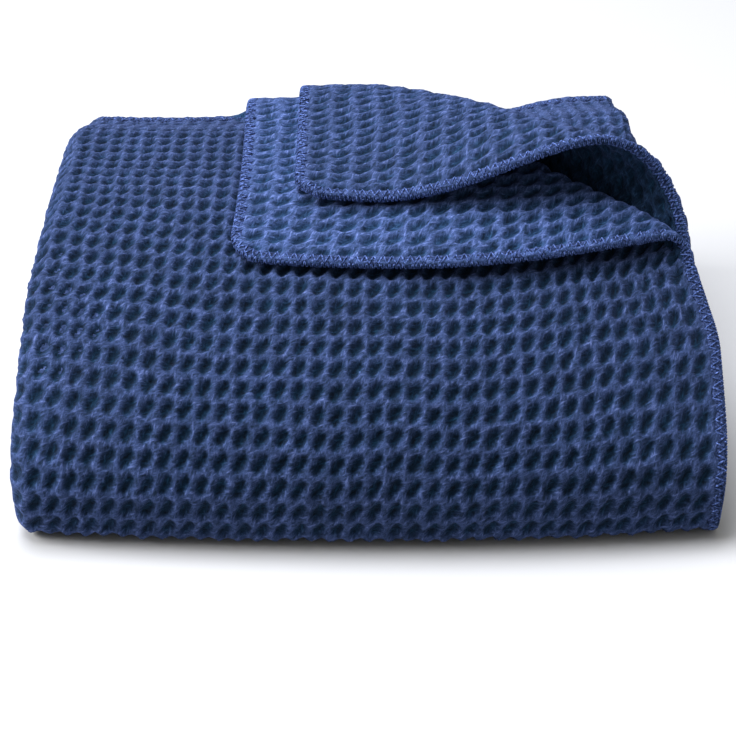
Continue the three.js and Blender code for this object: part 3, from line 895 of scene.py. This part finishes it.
def right_hems():
    for layer, back in RIGHT_HEMS.items():
        line = lines[layer]
        corner = next((c for c in CORNERS.values() if c.layer == layer), None)
        start = corner.edge_leg + 0.5 if corner else 0.0
        v = np.linspace(start, line.total, int(line.total / HEM_STEP))
        y, z, ny, nz = line.at(v)
        x = RIGHT - back + (0 if corner else 1.5 * edge_wander(v, layer * 40.0))
        edge = np.stack([x + 0 * v, y, z], -1)
        inner = edge - [HEM_WIDTH, 0, 0]
        normal = np.stack([0 * v, ny, nz], -1)
        detail = 1.0 if layer < 2 else 0.6
        piece = hem_piece(f"right_hem_{number(layer)}_thread", edge, inner, normal, detail)
        finish_hem(piece, [f"right_hem_{number(layer)}"])


def finish_hem(piece, nodes, ride=True):
    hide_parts(*nodes)
    if ride:
        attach(piece, STACK)


def end_hems():
    """The blanket's own two ends, at the back: the outer pass ends above, the inner pass below the middle."""
    for layer in range(LAYERS):
        for top in (True, False):
            if not ends_in_hem(layer, top):
                continue
            corner = next((c for c in CORNERS.values() if c.layer == layer and top), None)
            right = corner.edge - corner.back_leg - CORNER_GAP if corner else right_edge(layer)
            x = np.linspace(LEFT_FLAT - HEM_TUCK, right, int((right - LEFT_FLAT) / HEM_STEP))
            line = lines[layer]
            y, z, ny, nz = line.at(np.array(0.0 if top else line.total))
            edge = np.stack([x, y + 1.5 * edge_wander(x, layer * 55.0), z + 0 * x], -1)
            inner = edge - [0, HEM_WIDTH, 0]
            normal = np.stack([0 * x, ny + 0 * x, nz + 0 * x], -1)
            piece = hem_piece(f"end_hem_{number(layer)}_thread", edge, inner, normal, 0.7)
            finish_hem(piece, [f"end_hem_{number(layer)}"])


def corner_hems():
    """The overlocked edge round each turned-back corner, from the fold, round the corner, to the fold."""
    for corner in CORNERS.values():
        total = corner.hem_length()
        distance = np.linspace(1, total - 1, int(total / CORNER_HEM_STEP))
        edge = corner.place(*corner.hem_point(distance, 0.0))
        inner = corner.place(*corner.hem_point(distance, HEM_WIDTH))
        # Where the band meets the fold, its inner side is already over it, so its direction is the edge's.
        tangent = np.gradient(edge, axis=0)
        normal = np.cross(inner - edge, tangent)
        normal /= np.linalg.norm(normal, axis=1, keepdims=True)
        inner = edge + (inner - edge) / np.linalg.norm(inner - edge, axis=1, keepdims=True) * HEM_WIDTH
        piece = hem_piece(f"{corner.name}_corner_hem_thread", edge, inner, -normal, 1.2)
        names = [f"{corner.name}_{kind}" for kind in ("corner_hem", "roll_hem_right", "roll_hem_back")]
        finish_hem(piece, names, ride=False)
        bend(piece, corner)


# ---- Floor, light and camera ----


def add_light(name, place, target, size, power, colour):
    light = bpy.data.lights.new(name, "AREA")
    light.shape = "RECTANGLE"
    light.size, light.size_y = size
    light.energy = power
    light.color = colour
    lamp = bpy.data.objects.new(name, light)
    bpy.context.scene.collection.objects.link(lamp)
    lamp.location = place
    aim(lamp, target)


def aim(thing, target):
    direction = np.array(target, float) - np.array(thing.location)
    flat = math.hypot(direction[0], direction[1])
    thing.rotation_euler = (math.pi / 2 + math.atan2(direction[2], flat), 0,
                            math.atan2(direction[1], direction[0]) - math.pi / 2)


def make_studio():
    material, nodes, links, shader = new_material("studio_floor")
    shader.inputs["Base Color"].default_value = (0.58, 0.58, 0.59, 1)
    shader.inputs["Roughness"].default_value = 0.6
    size = 6.0
    points = [(-size, -size, 0), (size, -size, 0), (size, size, 0), (-size, size, 0)]
    floor = new_object("studio_floor", np.array(points) * 1000, [[[0, 1, 2, 3]]], material)
    floor.location.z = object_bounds()[0].z - 0.0003
    world = bpy.data.worlds.new("studio")
    world.use_nodes = True
    world.node_tree.nodes["Background"].inputs["Color"].default_value = (1.03, 1.02, 0.95, 1)
    world.node_tree.nodes["Background"].inputs["Strength"].default_value = 0.35
    bpy.context.scene.world = world
    add_light("top_light", (-0.5, 0.3, 2.2), (0, 0, 0.1), (1.8, 1.4), 73, (0.95, 0.98, 1.05))
    add_light("side_light", (-2.4, -0.2, 1.4), (0, 0, 0.1), (1.4, 1.4), 88, (1.0, 1.0, 1.0))


def make_camera():
    camera = bpy.data.cameras.new("camera")
    camera.lens = 101.4
    camera.sensor_width = 36
    camera.clip_start, camera.clip_end = 0.05, 50
    holder = bpy.data.objects.new("camera", camera)
    bpy.context.scene.collection.objects.link(holder)
    holder.location = (0.001, FRONT / 1000 - 0.917, 0.634)
    holder.rotation_euler = (math.radians(90 - 29.5), 0, 0)
    bpy.context.scene.camera = holder


make_camera()
outer_layer()
second_layer()
for inner in range(2, LAYERS):
    inner_layer(inner)
side_folds()
back_folds()
right_hems()
end_hems()
corner_hems()
make_studio()
bpy.context.scene.view_settings.view_transform = "Standard"
